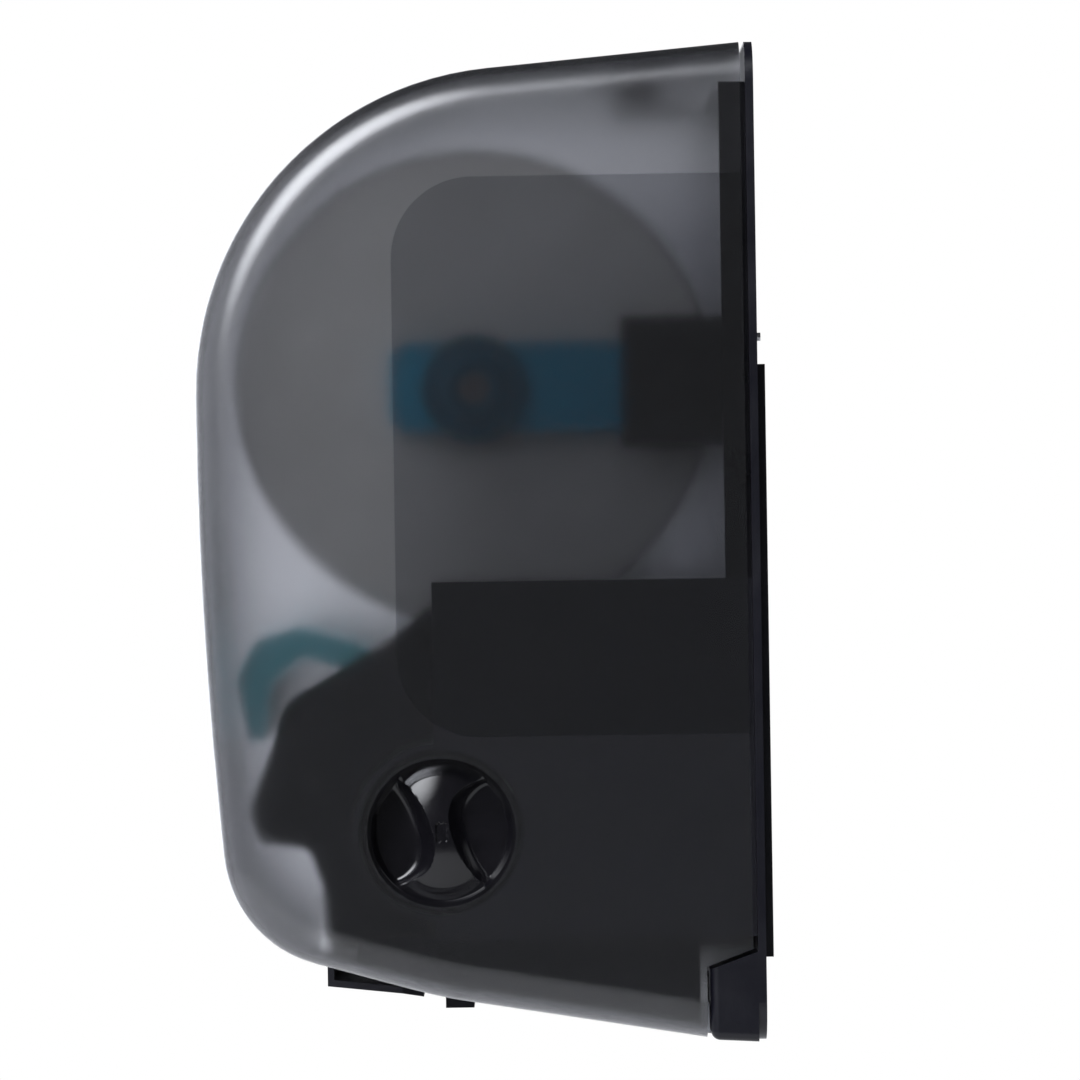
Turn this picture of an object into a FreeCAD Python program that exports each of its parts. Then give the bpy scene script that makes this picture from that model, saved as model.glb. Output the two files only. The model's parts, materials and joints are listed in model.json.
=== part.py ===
import FreeCAD, Part
import math
import os
import re
import Sketcher

# Wall mounted roll towel dispenser, hands free and mechanical, in millimetres.
# +X is the user's right hand side seen from the wall outwards (the side with the feed knob), -Y is the front,
# +Z is up. The origin lies on the wall face, half way across the dispenser and half way up it.

SIZES = (
    # cover outline, seen from the side: a rear edge, a falling top, a nearly upright front, a rising bottom
    ("cover_width", 326), ("depth", 231.3), ("top_rear", 201.7), ("top_fall", 19.5),
    ("cover_rear", 8.8), ("front_bend", 54), ("front_lean", 5), ("bottom_slope", 0.282),
    ("bottom_bend_out", 134.7), ("bottom_bend_drop", 183.6), ("bottom_rear", 201.3),
    ("top_front_r", 132), ("front_r", 1850), ("corner_r", 51), ("bottom_r", 200), ("edge_r", 16),
    ("cover_wall", 2.5), ("panel_rise", 0.8), ("panel_out", 150.5), ("panel_top", 147.9),
    ("panel_low", 77.9), ("panel_r", 33), ("knob_window_r", 30),
    # back plate
    ("pad_rise", 3.5), ("rim_wall", 3.3), ("pad_width", 300), ("pad_top", 71), ("pad_low", 169),
    ("plate_low", 202.4), ("floor_depth", 16.2), ("floor_wall", 3), ("flange_drop", 16.9),
    ("flange_depth", 10.8), ("flange_wall", 2.5),
    ("screw_spread", 280), ("screw_top", 58), ("screw_low", 2), ("low_screw_spread", 120),
    ("low_screw_drop", 150), ("screw_hole_r", 2.75),
    # hinge at the lower rear corner
    ("hinge_out", 17.5), ("hinge_drop", 195.5), ("block_out", 26.2), ("block_width", 20),
    ("block_top_front", 172.9), ("block_top_rear", 165.9), ("seam_gap", 1.2), ("block_toe_r", 4),
    ("hinge_pin_r", 3), ("hinge_pin_grip", 10), ("lug_wall", 5.5),
    ("lug_gap", 1.5), ("lug_r", 6), ("lug_reach", 28), ("lug_root", 10),
    # towel roll, its core, and the arms that hold it
    ("roll_width", 200), ("roll_r", 98.7), ("roll_out", 118.2), ("roll_height", 63.9),
    ("core_r", 19.05), ("core_wall", 1.55), ("hub_gap", 0.8), ("hub_stub", 8.5),
    ("hub_stub_r", 17.5), ("hub_stub_taper", 3), ("hub_r", 22.4), ("hub_flange", 2.4), ("axle_r", 6),
    ("arm_gap", 0.3), ("arm_wall", 5), ("arm_tip", 34.9), ("arm_top", 19.1), ("arm_low", 17.9),
    ("arm_tip_r", 9), ("cap_wall", 3), ("cap_boss_r", 12.5), ("cap_boss", 2),
    ("arm_pin_out", 37), ("arm_pin_r", 2.5), ("arm_eye_r", 5),
    ("bracket_out", 57.6), ("cheek_out", 50), ("bracket_top", 92.5), ("bracket_low", 38.5),
    ("bracket_wall", 3), ("bracket_depth", 16), ("cheek_wall", 4), ("leaf_wall", 0.8),
    ("leaf_out", 52), ("leaf_height", 13), ("bracket_screw_r", 1.7), ("bracket_head_r", 3),
    ("bracket_head", 2.2), ("bracket_screw_inset", 9),
    # feed module between its two side plates, and the housings outside them
    ("arm_room", 18), ("plate_wall", 5), ("housing_gap", 1.7), ("housing_wall", 2.2),
    ("housing_top", 15.3), ("housing_out", 136.2), ("housing_low", 160), ("knob_boss_r", 36),
    ("plate_top", 24.7), ("plate_shoulder", 137.1), ("plate_bottom", 168), ("nose_wall", 2.5),
    ("deck_drop", 61.5), ("deck_wall", 2.5), ("deck_out", 132),
    ("slot_front", 142.7), ("slot_rear", 133.7), ("lip_out", 182.2), ("lip_drop", 181.3),
    ("lip_join", 151.5), ("lip_join_drop", 184.7), ("guard_drop", 186.1), ("guard_top", 166),
    ("rear_lip_drop", 190.9), ("rear_lip_out", 122), ("chute_wall", 2.6), ("chute_top", 150),
    ("mouth_gap", 4),
    # drum with its knife, pinch roller, ratchet and knob
    ("drum_out", 133.6), ("drum_drop", 116.3), ("drum_r", 46), ("drum_wall", 3), ("drum_side_gap", 9),
    ("drum_end_wall", 4), ("slot_half", 4.5), ("shaft_r", 5), ("bush_r", 9), ("bush_flange_r", 12),
    ("bush_flange", 1.5), ("run_gap", 0.05), ("band_wall", 0.8), ("band_width", 12),
    ("band_pitch", 70), ("pinch_r", 9), ("pinch_shaft_r", 3), ("pinch_gap", 0.4),
    ("pinch_turn", 160), ("sleeve_width", 24), ("sleeve_pitch_in", 36), ("sleeve_pitch_out", 90),
    ("knife_pin_out", 31), ("knife_pin_drop", 24), ("knife_pin_r", 2.5), ("blade_reach", 44.5),
    ("blade_wall", 1.2),
    ("blade_side_gap", 6), ("ratchet_r", 18), ("ratchet_depth", 2.5), ("ratchet_wall", 4),
    ("ratchet_gap", 3), ("pawl_out", 104), ("pawl_drop", 98), ("pawl_pin_r", 2), ("cam_r", 36),
    ("cam_bore", 14), ("cam_wall", 4), ("cam_groove", 3), ("cam_groove_depth", 2), ("knob_r", 32.5),
    ("knob_base", 3), ("knob_depth", 11.8), ("knob_gap", 0.9), ("knob_rim", 3), ("knob_ridge", 15),
    ("knob_waist", 9),
    ("knob_hole_gap", 1), ("clip_r", 8), ("clip_wall", 1.5),
    # transfer bar over the nose
    ("bar_side_gap", 3), ("bar_pin_out", 152.5), ("bar_pin_drop", 54), ("bar_pin_r", 3),
    # lock under the middle of the top
    ("lock_out", 50), ("lock_sink", 0.1), ("barrel_r", 8.9), ("barrel_length", 10.5), ("plug_r", 5.5),
    ("nut_r", 12), ("nut_drop", 4), ("nut_wall", 4), ("tongue_drop", 13.5), ("tongue_wall", 2.5),
    ("tongue_reach", 22), ("tongue_half", 4.5), ("tongue_play", 1.5), ("catch_gap", 3.5),
    ("catch_width", 14), ("catch_wall", 3), ("catch_foot", 14), ("plaque_rise", 0.7),
    ("plaque_width", 60), ("plaque_front", 151.3), ("plaque_rear", 14), ("key_slot", 1.6),
)

doc = FreeCAD.newDocument("towel_dispenser")
dims = doc.addObject("Spreadsheet::Sheet", "dims")
for row, (alias, size) in enumerate(SIZES, start=1):
    dims.set(f"A{row}", alias)
    dims.set(f"B{row}", str(size))
    dims.setAlias(f"B{row}", alias)
doc.recompute()
ALIASES = {alias for alias, size in SIZES}

# Faces and stations that several pieces share, as expressions over the sheet.
PLATE_FRONT = "(pad_rise + rim_wall)"
COVER_HALF = "(cover_width/2)"
COVER_INSIDE = "(cover_width/2 - cover_wall)"
HOUSING_SIDE = "(cover_width/2 - cover_wall - panel_rise - housing_gap)"
PLATE_SIDE = "(roll_width/2 + arm_room)"
PLATE_INSIDE = "(roll_width/2 + arm_room - plate_wall)"
DRUM_HALF = "(roll_width/2 + arm_room - plate_wall - drum_side_gap)"
HUB_START = "(roll_width/2 + hub_gap)"
ARM_START = "(roll_width/2 + hub_gap + hub_flange + arm_gap)"
ARM_MIDDLE = "(roll_width/2 + hub_gap + hub_flange + arm_gap + arm_wall/2)"
BRACKET_START = "(roll_width/2 + hub_gap + hub_flange + arm_gap + arm_wall/2 - arm_eye_r + 0.5)"
BLOCK_START = "(cover_width/2 - block_width)"
KNOB_START = "(cover_width/2 - cover_wall - panel_rise - knob_gap - knob_depth)"
SIDES = (("right", 1), ("left", -1))
ROLL_AXIS = ("-roll_out", "roll_height")
DRUM_AXIS = ("-drum_out", "-drum_drop")
HINGE_AXIS = ("-hinge_out", "-hinge_drop")
LOCK_TOP = "(top_rear - (lock_out - cover_rear)*top_fall/(depth - cover_rear) - lock_sink)"
TONGUE_LOW = f"({LOCK_TOP} - tongue_drop)"


def full(expression):
    """An expression with each alias written as a cell of the sheet."""
    return re.sub(r"[a-z][a-z0-9_]*",
                  lambda word: "dims." + word.group() if word.group() in ALIASES else word.group(),
                  str(expression))


def value(expression):
    """What an expression over the sheet is worth now, in millimetres."""
    return float(dims.evalExpression(full(expression)))


def bind(feature, name, expression):
    feature.setExpression(name, full(expression))


def new_body(name):
    body = doc.addObject("PartDesign::Body", name)
    body.Label = name
    body.Placement = FreeCAD.Placement()
    return body


def box_loop(u_low, v_low, u_high, v_high):
    return [(u_low, v_low), (u_high, v_low), (u_high, v_high), (u_low, v_high)]


def disc(centre, radius):
    return (centre[0], centre[1], radius)


def draw_circle(sketch, u, v, radius):
    circle = Part.Circle(FreeCAD.Vector(value(u), value(v), 0), FreeCAD.Vector(0, 0, 1), value(radius))
    index = sketch.addGeometry(circle)
    for kind, where in (("DistanceX", u), ("DistanceY", v)):
        constraint = sketch.addConstraint(Sketcher.Constraint(kind, -1, 1, index, 3, value(where)))
        bind(sketch, f"Constraints[{constraint}]", where)
    constraint = sketch.addConstraint(Sketcher.Constraint("Radius", index, value(radius)))
    bind(sketch, f"Constraints[{constraint}]", radius)


def arc_between(start, end, radius):
    """An outward arc between two corners of a loop drawn anticlockwise."""
    chord = end - start
    rise = math.sqrt(radius ** 2 - chord.Length ** 2 / 4)
    inward = FreeCAD.Vector(-chord.y, chord.x, 0) / chord.Length
    centre = (start + end) / 2 + inward * rise
    circle = Part.Circle(centre, FreeCAD.Vector(0, 0, 1), radius)
    return Part.ArcOfCircle(circle, circle.parameter(start), circle.parameter(end))


def draw_polygon(sketch, corners):
    """A closed loop of corners. A corner with a third value starts an arc of that radius."""
    spots = [FreeCAD.Vector(value(corner[0]), value(corner[1]), 0) for corner in corners]
    lines = []
    for place, (corner, spot) in enumerate(zip(corners, spots)):
        following = spots[(place + 1) % len(spots)]
        if len(corner) == 3:
            geometry = arc_between(spot, following, value(corner[2]))
        else:
            geometry = Part.LineSegment(spot, following)
        lines.append(sketch.addGeometry(geometry))
    for place, line in enumerate(lines):
        following = lines[(place + 1) % len(lines)]
        sketch.addConstraint(Sketcher.Constraint("Coincident", line, 2, following, 1))
    for line, corner in zip(lines, corners):
        for kind, where in (("DistanceX", corner[0]), ("DistanceY", corner[1])):
            constraint = sketch.addConstraint(Sketcher.Constraint(kind, line, 1, value(where)))
            bind(sketch, f"Constraints[{constraint}]", where)
        if len(corner) == 3:
            constraint = sketch.addConstraint(Sketcher.Constraint("Radius", line, value(corner[2])))
            bind(sketch, f"Constraints[{constraint}]", corner[2])


def draw(body, plane, start, loops):
    """A sketch on an origin plane, moved to a station: X for YZ, Z for XY, and Y for XZ, which faces -Y."""
    sketch = body.newObject("Sketcher::SketchObject", body.Name + "_sketch")
    support = next(item for item in body.Origin.OriginFeatures if item.Role == plane + "_Plane")
    sketch.AttachmentSupport = [(support, "")]
    sketch.MapMode = "FlatFace"
    bind(sketch, "AttachmentOffset.Base.z", f"-({start})" if plane == "XZ" else start)
    for loop in loops:
        if isinstance(loop, tuple):
            draw_circle(sketch, *loop)
        else:
            draw_polygon(sketch, loop)
    return sketch


def pad(body, plane, start, length, *loops):
    """Adds a prism that grows from its station: towards +X, +Z, or -Y for the XZ plane."""
    feature = body.newObject("PartDesign::Pad", body.Name + "_pad")
    feature.Profile = draw(body, plane, start, loops)
    bind(feature, "Length", length)
    doc.recompute()
    return feature


def cut(body, plane, start, length, *loops):
    """Takes a prism away, in the direction in which pad would add it."""
    before = body.Shape.Volume
    feature = body.newObject("PartDesign::Pocket", body.Name + "_cut")
    feature.Profile = draw(body, plane, start, loops)
    bind(feature, "Length", length)
    feature.Reversed = True
    doc.recompute()
    if body.Shape.Volume > before - 1e-3:
        raise RuntimeError(f"a cut in {body.Label} takes nothing away")
    return feature


def edges_along(shape, axis, corners):
    """Names of the straight edges that run along an axis through these corners."""
    across = [place for place in range(3) if place != "XYZ".index(axis)]
    wanted = [(value(u), value(v)) for u, v in corners]
    names = []
    for number, edge in enumerate(shape.Edges, start=1):
        ends = [vertex.Point for vertex in edge.Vertexes]
        if len(ends) == 2 and any(
                all(abs(end[across[0]] - u) + abs(end[across[1]] - v) < 0.02 for end in ends)
                for u, v in wanted):
            names.append(f"Edge{number}")
    if len(names) < len(wanted):
        raise RuntimeError(f"only {len(names)} of {len(wanted)} corners have an edge")
    return names


def round_edges(body, names, radius):
    """Rounds named edges of the body as it stands."""
    base = body.Tip
    feature = body.newObject("PartDesign::Fillet", body.Name + "_round")
    feature.Base = (base, names)
    bind(feature, "Radius", radius)
    doc.recompute()
    return feature


def fillet(body, axis, corners, radius):
    """Rounds the straight edges that run along an axis through these corners."""
    return round_edges(body, edges_along(body.Tip.Shape, axis, corners), radius)


def hollow(body, open_faces, wall):
    """Leaves a wall inside the body's faces, open at the named ones."""
    base = body.Tip
    feature = body.newObject("PartDesign::Thickness", body.Name + "_shell")
    feature.Base = (base, open_faces)
    feature.Reversed = True
    feature.Join = 0
    bind(feature, "Value", wall)
    doc.recompute()
    return feature


def mirrored(side, start, length):
    """Start and length of a prism along X on one side of the middle."""
    return (start, length) if side > 0 else (f"-({start}) - ({length})", length)


def signed(side, expression):
    return f"({expression})" if side > 0 else f"-({expression})"


# ---- cover ----------------------------------------------------------------------------------------------

def outline_corners(rise):
    """Corners of the cover's outline before they are rounded, each moved outwards by rise."""
    seam_out = "block_out + seam_gap"
    bend = f"(front_r + {rise})"
    bend_out = f"(depth + {rise} - {bend}*(1 - cos(front_lean*1deg)))"
    bend_low = f"(front_bend - {bend}*sin(front_lean*1deg))"
    lean = "tan(front_lean*1deg)"
    # The toe is where the line of the lower front meets the line of the rising bottom.
    bottom_low = f"(bottom_bend_drop + {rise})"
    toe_up = (f"((bottom_slope*({bend_out} - bottom_bend_out - {lean}*{bend_low}) - {bottom_low})"
              f"/(1 - bottom_slope*{lean}))")
    return {
        "top_rear": ("-cover_rear", f"top_rear + {rise}"),
        "top_front": (f"-(depth + {rise})", f"top_rear - top_fall + {rise}"),
        "front_high": (f"-(depth + {rise})", "front_bend", bend),
        "front_low": (f"-{bend_out}", bend_low),
        "toe": (f"-{bend_out} + ({bend_low} - {toe_up})*{lean}", toe_up),
        "bottom": ("-bottom_bend_out", f"-{bottom_low}"),
        "seam_low": (f"-({seam_out})", f"-(bottom_rear + {rise})"),
        "seam_high": (f"-({seam_out})", "-(block_top_front - seam_gap)"),
        "rear_low": ("-cover_rear", "-(block_top_rear - seam_gap)"),
    }


def outline_prism(name, half, rise):
    """The outline as a prism across X, with its bends rounded."""
    body = new_body(name)
    corners = outline_corners(rise)
    pad(body, "YZ", f"-({half})", f"2*({half})", list(corners.values()))
    fillet(body, "X", [corners["top_front"]], f"top_front_r + {rise}")
    fillet(body, "X", [corners["toe"]], f"corner_r + {rise}")
    fillet(body, "X", [corners["bottom"]], "bottom_r")
    return body


def side_edge(shape, side):
    """The edge of the rising bottom in one side face, from which the rounding runs on round the outline."""
    half = value(COVER_HALF) * side
    lowest = None
    for number, edge in enumerate(shape.Edges, start=1):
        middle = edge.CenterOfMass
        if all(abs(vertex.Point.x - half) < 0.01 for vertex in edge.Vertexes) and edge.Length > 50:
            if lowest is None or middle.z < lowest[1]:
                lowest = (f"Edge{number}", middle.z)
    return lowest[0]


def make_cover():
    cover = outline_prism("cover", COVER_HALF, 0)
    shape = cover.Tip.Shape
    round_edges(cover, [side_edge(shape, 1), side_edge(shape, -1)], "edge_r")

    open_faces = []
    for number, face in enumerate(cover.Tip.Shape.Faces, start=1):
        middle = face.CenterOfMass
        normal = face.normalAt(0.5, 0.5)
        straight = isinstance(face.Surface, Part.Plane) and abs(normal.x) < 0.01
        behind = middle.y > -value("block_out + seam_gap") - 0.01
        if straight and behind:
            open_faces.append(f"Face{number}")
    hollow(cover, open_faces, "cover_wall")

    for name, side in SIDES:
        start, length = mirrored(side, f"{COVER_INSIDE} - panel_rise", "panel_rise")
        panel = box_loop("-panel_out", "-panel_low", "-cover_rear", "panel_top")
        pad(cover, "YZ", start, length, panel)
        corners = [("-panel_out", "-panel_low"), ("-panel_out", "panel_top")]
        ends = [value(start), value(start) + value(length)]
        shape = cover.Tip.Shape
        picked = [edge for edge in edges_along(shape, "X", corners)
                  if min(ends) - 0.01 < shape.getElement(edge).CenterOfMass.x < max(ends) + 0.01]
        round_edges(cover, picked, "panel_r")

        start, length = mirrored(side, f"{BLOCK_START} - lug_gap - lug_wall", "lug_wall")
        web = [("-hinge_out", "-(hinge_drop - lug_r)"),
               ("-(hinge_out + lug_reach)", "-(hinge_drop - lug_root)"),
               ("-(hinge_out + lug_reach)", "-(hinge_drop + 2)"),
               ("-hinge_out", "-(hinge_drop + lug_r)")]
        pad(cover, "YZ", start, length, web)
        pad(cover, "YZ", start, length, disc(HINGE_AXIS, "lug_r"))
        cut(cover, "YZ", start, length, disc(HINGE_AXIS, "hinge_pin_r + run_gap"))

    cut(cover, "YZ", f"{COVER_INSIDE} - 2*panel_rise", "cover_wall + 3*panel_rise",
        disc(DRUM_AXIS, "knob_window_r"))
    mouth = box_loop("-(lip_out + mouth_gap)", "-(rear_lip_drop + 5)", "-(rear_lip_out - mouth_gap)",
                     "-(plate_bottom - 14)")
    cut(cover, "YZ", f"-({PLATE_INSIDE} + mouth_gap)", f"2*({PLATE_INSIDE} + mouth_gap)", mouth)
    cut(cover, "XY", f"{LOCK_TOP} - 8", "16", disc(("0", "-lock_out"), "barrel_r"))


def make_plaque():
    """The raised strip along the middle of the top that carries the key hole."""
    outer = outline_prism("plaque_outer", "plaque_width/2", "plaque_rise")
    inner = outline_prism("plaque_inner", "plaque_width/2 + 5", "0")
    region = new_body("plaque_region")
    reach = box_loop("-(plaque_width/2)", "-plaque_front", "plaque_width/2", "-plaque_rear")
    pad(region, "XY", "top_rear - 60", "100", reach)
    fillet(region, "Z", [("plaque_width/2", "-plaque_front"), ("-(plaque_width/2)", "-plaque_front")], "6")
    cut(region, "XY", "top_rear - 61", "102", disc(("0", "-lock_out"), "barrel_r"))
    skin = doc.addObject("Part::Cut", "plaque_skin")
    skin.Base = outer
    skin.Tool = inner
    plaque = doc.addObject("Part::Common", "lock_plaque")
    plaque.Base = skin
    plaque.Tool = region
    plaque.Label = "lock_plaque"
    doc.recompute()


# ---- fixed frame ----------------------------------------------------------------------------------------

def make_back_plate():
    plate = new_body("back_plate")
    half = COVER_HALF
    pad(plate, "XZ", "-pad_rise", "rim_wall", box_loop(f"-{half}", "-plate_low", half, "top_rear"))
    fillet(plate, "Y", [(sign + half, height) for sign in ("", "-") for height in ("-plate_low", "top_rear")],
           "edge_r")
    pad(plate, "XZ", "0", "pad_rise", box_loop("-(pad_width/2)", "-pad_low", "pad_width/2", "pad_top"))
    inner = f"({HOUSING_SIDE} - flange_wall)"
    flange = [(f"-{HOUSING_SIDE}", "-housing_top"), (f"-{HOUSING_SIDE}", "top_rear - flange_drop"),
              (HOUSING_SIDE, "top_rear - flange_drop"), (HOUSING_SIDE, "-housing_top"),
              (inner, "-housing_top"), (inner, "top_rear - flange_drop - flange_wall"),
              (f"-{inner}", "top_rear - flange_drop - flange_wall"), (f"-{inner}", "-housing_top")]
    pad(plate, "XZ", f"-{PLATE_FRONT}", "flange_depth", flange)
    lip_half = f"({BLOCK_START} - lug_gap - lug_wall - 2)"
    pad(plate, "XZ", f"-{PLATE_FRONT}", "floor_depth",
        box_loop(f"-{lip_half}", "-plate_low", lip_half, "-(plate_low - floor_wall)"))
    holes = [disc((signed(side, "screw_spread/2"), height), "screw_hole_r")
             for name, side in SIDES for height in ("screw_top", "screw_low")]
    holes += [disc((signed(side, "low_screw_spread/2"), "-low_screw_drop"), "screw_hole_r")
              for name, side in SIDES]
    cut(plate, "XZ", "0", f"{PLATE_FRONT} + 1", *holes)
    cut(plate, "XZ", "0", f"{PLATE_FRONT} + 1",
        *[disc(spot, "bracket_screw_r") for spot in bracket_screw_spots()])


def bracket_screw_spots():
    across = f"({BRACKET_START} + bracket_depth/2)"
    return [(signed(side, across), height) for name, side in SIDES
            for height in ("bracket_low + bracket_screw_inset", "bracket_top - bracket_screw_inset")]


def make_hinge(name, side):
    block = new_body(f"hinge_block_{name}")
    start, length = mirrored(side, BLOCK_START, "block_width")
    corners = [("-block_out", "-bottom_rear"), (f"-{PLATE_FRONT}", "-plate_low"),
               (f"-{PLATE_FRONT}", "-block_top_rear"), ("-block_out", "-block_top_front")]
    pad(block, "YZ", start, length, corners)
    fillet(block, "X", [corners[0]], "block_toe_r")
    outside = value(COVER_HALF) * side
    lowest = None
    for number, edge in enumerate(block.Tip.Shape.Edges, start=1):
        if all(abs(vertex.Point.x - outside) < 0.01 for vertex in edge.Vertexes):
            if abs(edge.tangentAt(edge.FirstParameter).y) > 0.9 and (
                    lowest is None or edge.CenterOfMass.z < lowest[1]):
                lowest = (f"Edge{number}", edge.CenterOfMass.z)
    round_edges(block, [lowest[0]], "block_toe_r - 0.5")
    start, length = mirrored(side, BLOCK_START, "hinge_pin_grip")
    cut(block, "YZ", start, length, disc(HINGE_AXIS, "hinge_pin_r"))

    pin = new_body(f"hinge_pin_{name}")
    start, length = mirrored(side, f"{BLOCK_START} - lug_gap - lug_wall - 2",
                             "hinge_pin_grip + lug_gap + lug_wall + 2")
    pad(pin, "YZ", start, length, disc(HINGE_AXIS, "hinge_pin_r"))


def make_bracket(name, side):
    bracket = new_body(f"arm_bracket_{name}")
    start, length = mirrored(side, f"{BRACKET_START} + bracket_depth - bracket_wall", "bracket_wall")
    pad(bracket, "YZ", start, length,
        box_loop("-bracket_out", "bracket_low", f"-{PLATE_FRONT}", "bracket_top"))
    start, length = mirrored(side, BRACKET_START, "bracket_depth")
    pad(bracket, "YZ", start, length,
        box_loop("-cheek_out", "bracket_low", f"-{PLATE_FRONT}", "bracket_low + cheek_wall"))
    pad(bracket, "YZ", start, length,
        box_loop("-cheek_out", "bracket_top - cheek_wall", f"-{PLATE_FRONT}", "bracket_top"))
    pad(bracket, "YZ", start, length,
        box_loop(f"-({PLATE_FRONT} + bracket_wall)", "bracket_low", f"-{PLATE_FRONT}", "bracket_top"))
    pivot = (signed(side, ARM_MIDDLE), "-arm_pin_out")
    cut(bracket, "XY", "bracket_low - 1", "bracket_top - bracket_low + 2", disc(pivot, "arm_pin_r"))
    spots = [spot for spot in bracket_screw_spots() if spot[0].startswith("-") == (side < 0)]
    holes = [disc(spot, "bracket_screw_r") for spot in spots]
    cut(bracket, "XZ", f"-{PLATE_FRONT} + 1", "bracket_wall + 2", *holes)

    pin = new_body(f"arm_pin_{name}")
    pad(pin, "XY", "bracket_low - 1", "bracket_top - bracket_low + 2", disc(pivot, "arm_pin_r"))

    leaf = new_body(f"arm_spring_{name}")
    start, length = mirrored(side, f"{BRACKET_START} + bracket_depth - bracket_wall - 2.5", "leaf_wall")
    pad(leaf, "YZ", start, length,
        box_loop("-leaf_out", "roll_height - leaf_height/2", f"-({PLATE_FRONT} + bracket_wall)",
                 "roll_height + leaf_height/2"))


def make_bracket_screws():
    screws = []
    for number, spot in enumerate(bracket_screw_spots(), start=1):
        screw = new_body(f"bracket_screw_{number}")
        face = f"-({PLATE_FRONT} + bracket_wall)"
        pad(screw, "XZ", "0", f"{PLATE_FRONT} + bracket_wall", disc(spot, "bracket_screw_r"))
        pad(screw, "XZ", face, "bracket_head", disc(spot, "bracket_head_r"))
        screws.append(screw)
    group = doc.addObject("Part::Compound", "bracket_screws")
    group.Links = screws
    group.Label = "bracket_screws"
    doc.recompute()


def make_housing(name, side):
    housing = new_body(f"side_housing_{name}")
    reach = f"({HOUSING_SIDE} - {PLATE_SIDE})"
    start, length = mirrored(side, PLATE_SIDE, reach)
    pad(housing, "YZ", start, length,
        box_loop("-housing_out", "-housing_low", f"-{PLATE_FRONT}", "-housing_top"))
    pad(housing, "YZ", start, length, disc(DRUM_AXIS, "knob_boss_r"))
    start, length = mirrored(side, PLATE_SIDE, f"{reach} - housing_wall")
    cut(housing, "YZ", start, length,
        box_loop("-(housing_out - housing_wall)", "-(housing_low - housing_wall)",
                 f"-({PLATE_FRONT} + housing_wall)", "-(housing_top + housing_wall)"))
    cut(housing, "YZ", start, length, disc(DRUM_AXIS, "knob_boss_r - housing_wall"))
    if side > 0:
        cut(housing, "YZ", f"{HOUSING_SIDE} - 2*housing_wall", "3*housing_wall",
            disc(DRUM_AXIS, "knob_r + knob_hole_gap"))


def nose_corners():
    """The outline of a module side plate: flat top, rounded nose, a step back above the paper slot."""
    return [(f"-{PLATE_FRONT}", "-plate_top"), ("-plate_shoulder", "-plate_top"), near_drum("-29.4", "73.4"),
            near_drum("-62.8", "53.3"), near_drum("-78.9", "8.3"), near_drum("-74.4", "-4.7"),
            near_drum("-55.4", "-8.2"), near_drum("-49.6", "-23.7"),
            ("-(lip_out - 0.7)", "-(plate_bottom - 5)"), ("-(slot_front - 2.7)", "-plate_bottom"),
            (f"-{PLATE_FRONT}", "-plate_bottom")]


def make_module_plate(name, side):
    plate = new_body(f"module_plate_{name}")
    start, length = mirrored(side, PLATE_INSIDE, "plate_wall")
    corners = nose_corners()
    pad(plate, "YZ", start, length, corners)
    fillet(plate, "X", [corners[2], corners[3]], "22")
    fillet(plate, "X", [corners[4]], "9")
    fillet(plate, "X", [corners[5], corners[6]], "5")
    cut(plate, "YZ", start, length, disc(DRUM_AXIS, "bush_r"))
    cut(plate, "YZ", start, length, disc(pinch_axis(), "pinch_shaft_r + run_gap"))
    cut(plate, "YZ", start, length, disc(("-bar_pin_out", "-bar_pin_drop"), "bar_pin_r"))
    if side > 0:
        cut(plate, "YZ", start, length, disc(("-pawl_out", "-pawl_drop"), "pawl_pin_r"))

    bush = new_body(f"drum_bush_{name}")
    pad(bush, "YZ", start, length, disc(DRUM_AXIS, "bush_r"), disc(DRUM_AXIS, "shaft_r + run_gap"))
    start, length = mirrored(side, f"{PLATE_INSIDE} - bush_flange", "bush_flange")
    pad(bush, "YZ", start, length, disc(DRUM_AXIS, "bush_flange_r"), disc(DRUM_AXIS, "shaft_r + run_gap"))


def make_nose():
    nose = new_body("module_nose")
    rear = "-drum_out - 16.4"
    corners = [(rear, "-drum_drop + 50.3"), near_drum("-38.4", "58.3"), near_drum("-55.4", "54.3"),
               near_drum("-66.4", "40.3"), near_drum("-75.9", "12.3"), near_drum("-75.9", "4.3"),
               near_drum("-70.4", "-2.2"), near_drum("-54.9", "-5.2"), near_drum("-47.4", "-17.7"),
               near_drum("-47.4", "-(chute_top - drum_drop)"), (rear, "-chute_top")]
    pad(nose, "YZ", f"-{PLATE_INSIDE}", f"2*{PLATE_INSIDE}", corners)
    fillet(nose, "X", [corners[2], corners[3]], "10")
    fillet(nose, "X", [corners[4], corners[5]], "4")
    open_faces = []
    for number, face in enumerate(nose.Tip.Shape.Faces, start=1):
        middle = face.CenterOfMass
        ends = abs(abs(middle.x) - value(PLATE_INSIDE)) < 0.01
        behind = abs(middle.y - value(rear)) < 0.01
        under = abs(middle.z + value("chute_top")) < 0.01
        if ends or behind or under:
            open_faces.append(f"Face{number}")
    hollow(nose, open_faces, "nose_wall")


def across_module(name, corners):
    body = new_body(name)
    pad(body, "YZ", f"-{PLATE_INSIDE}", f"2*{PLATE_INSIDE}", corners)
    return body


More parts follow.
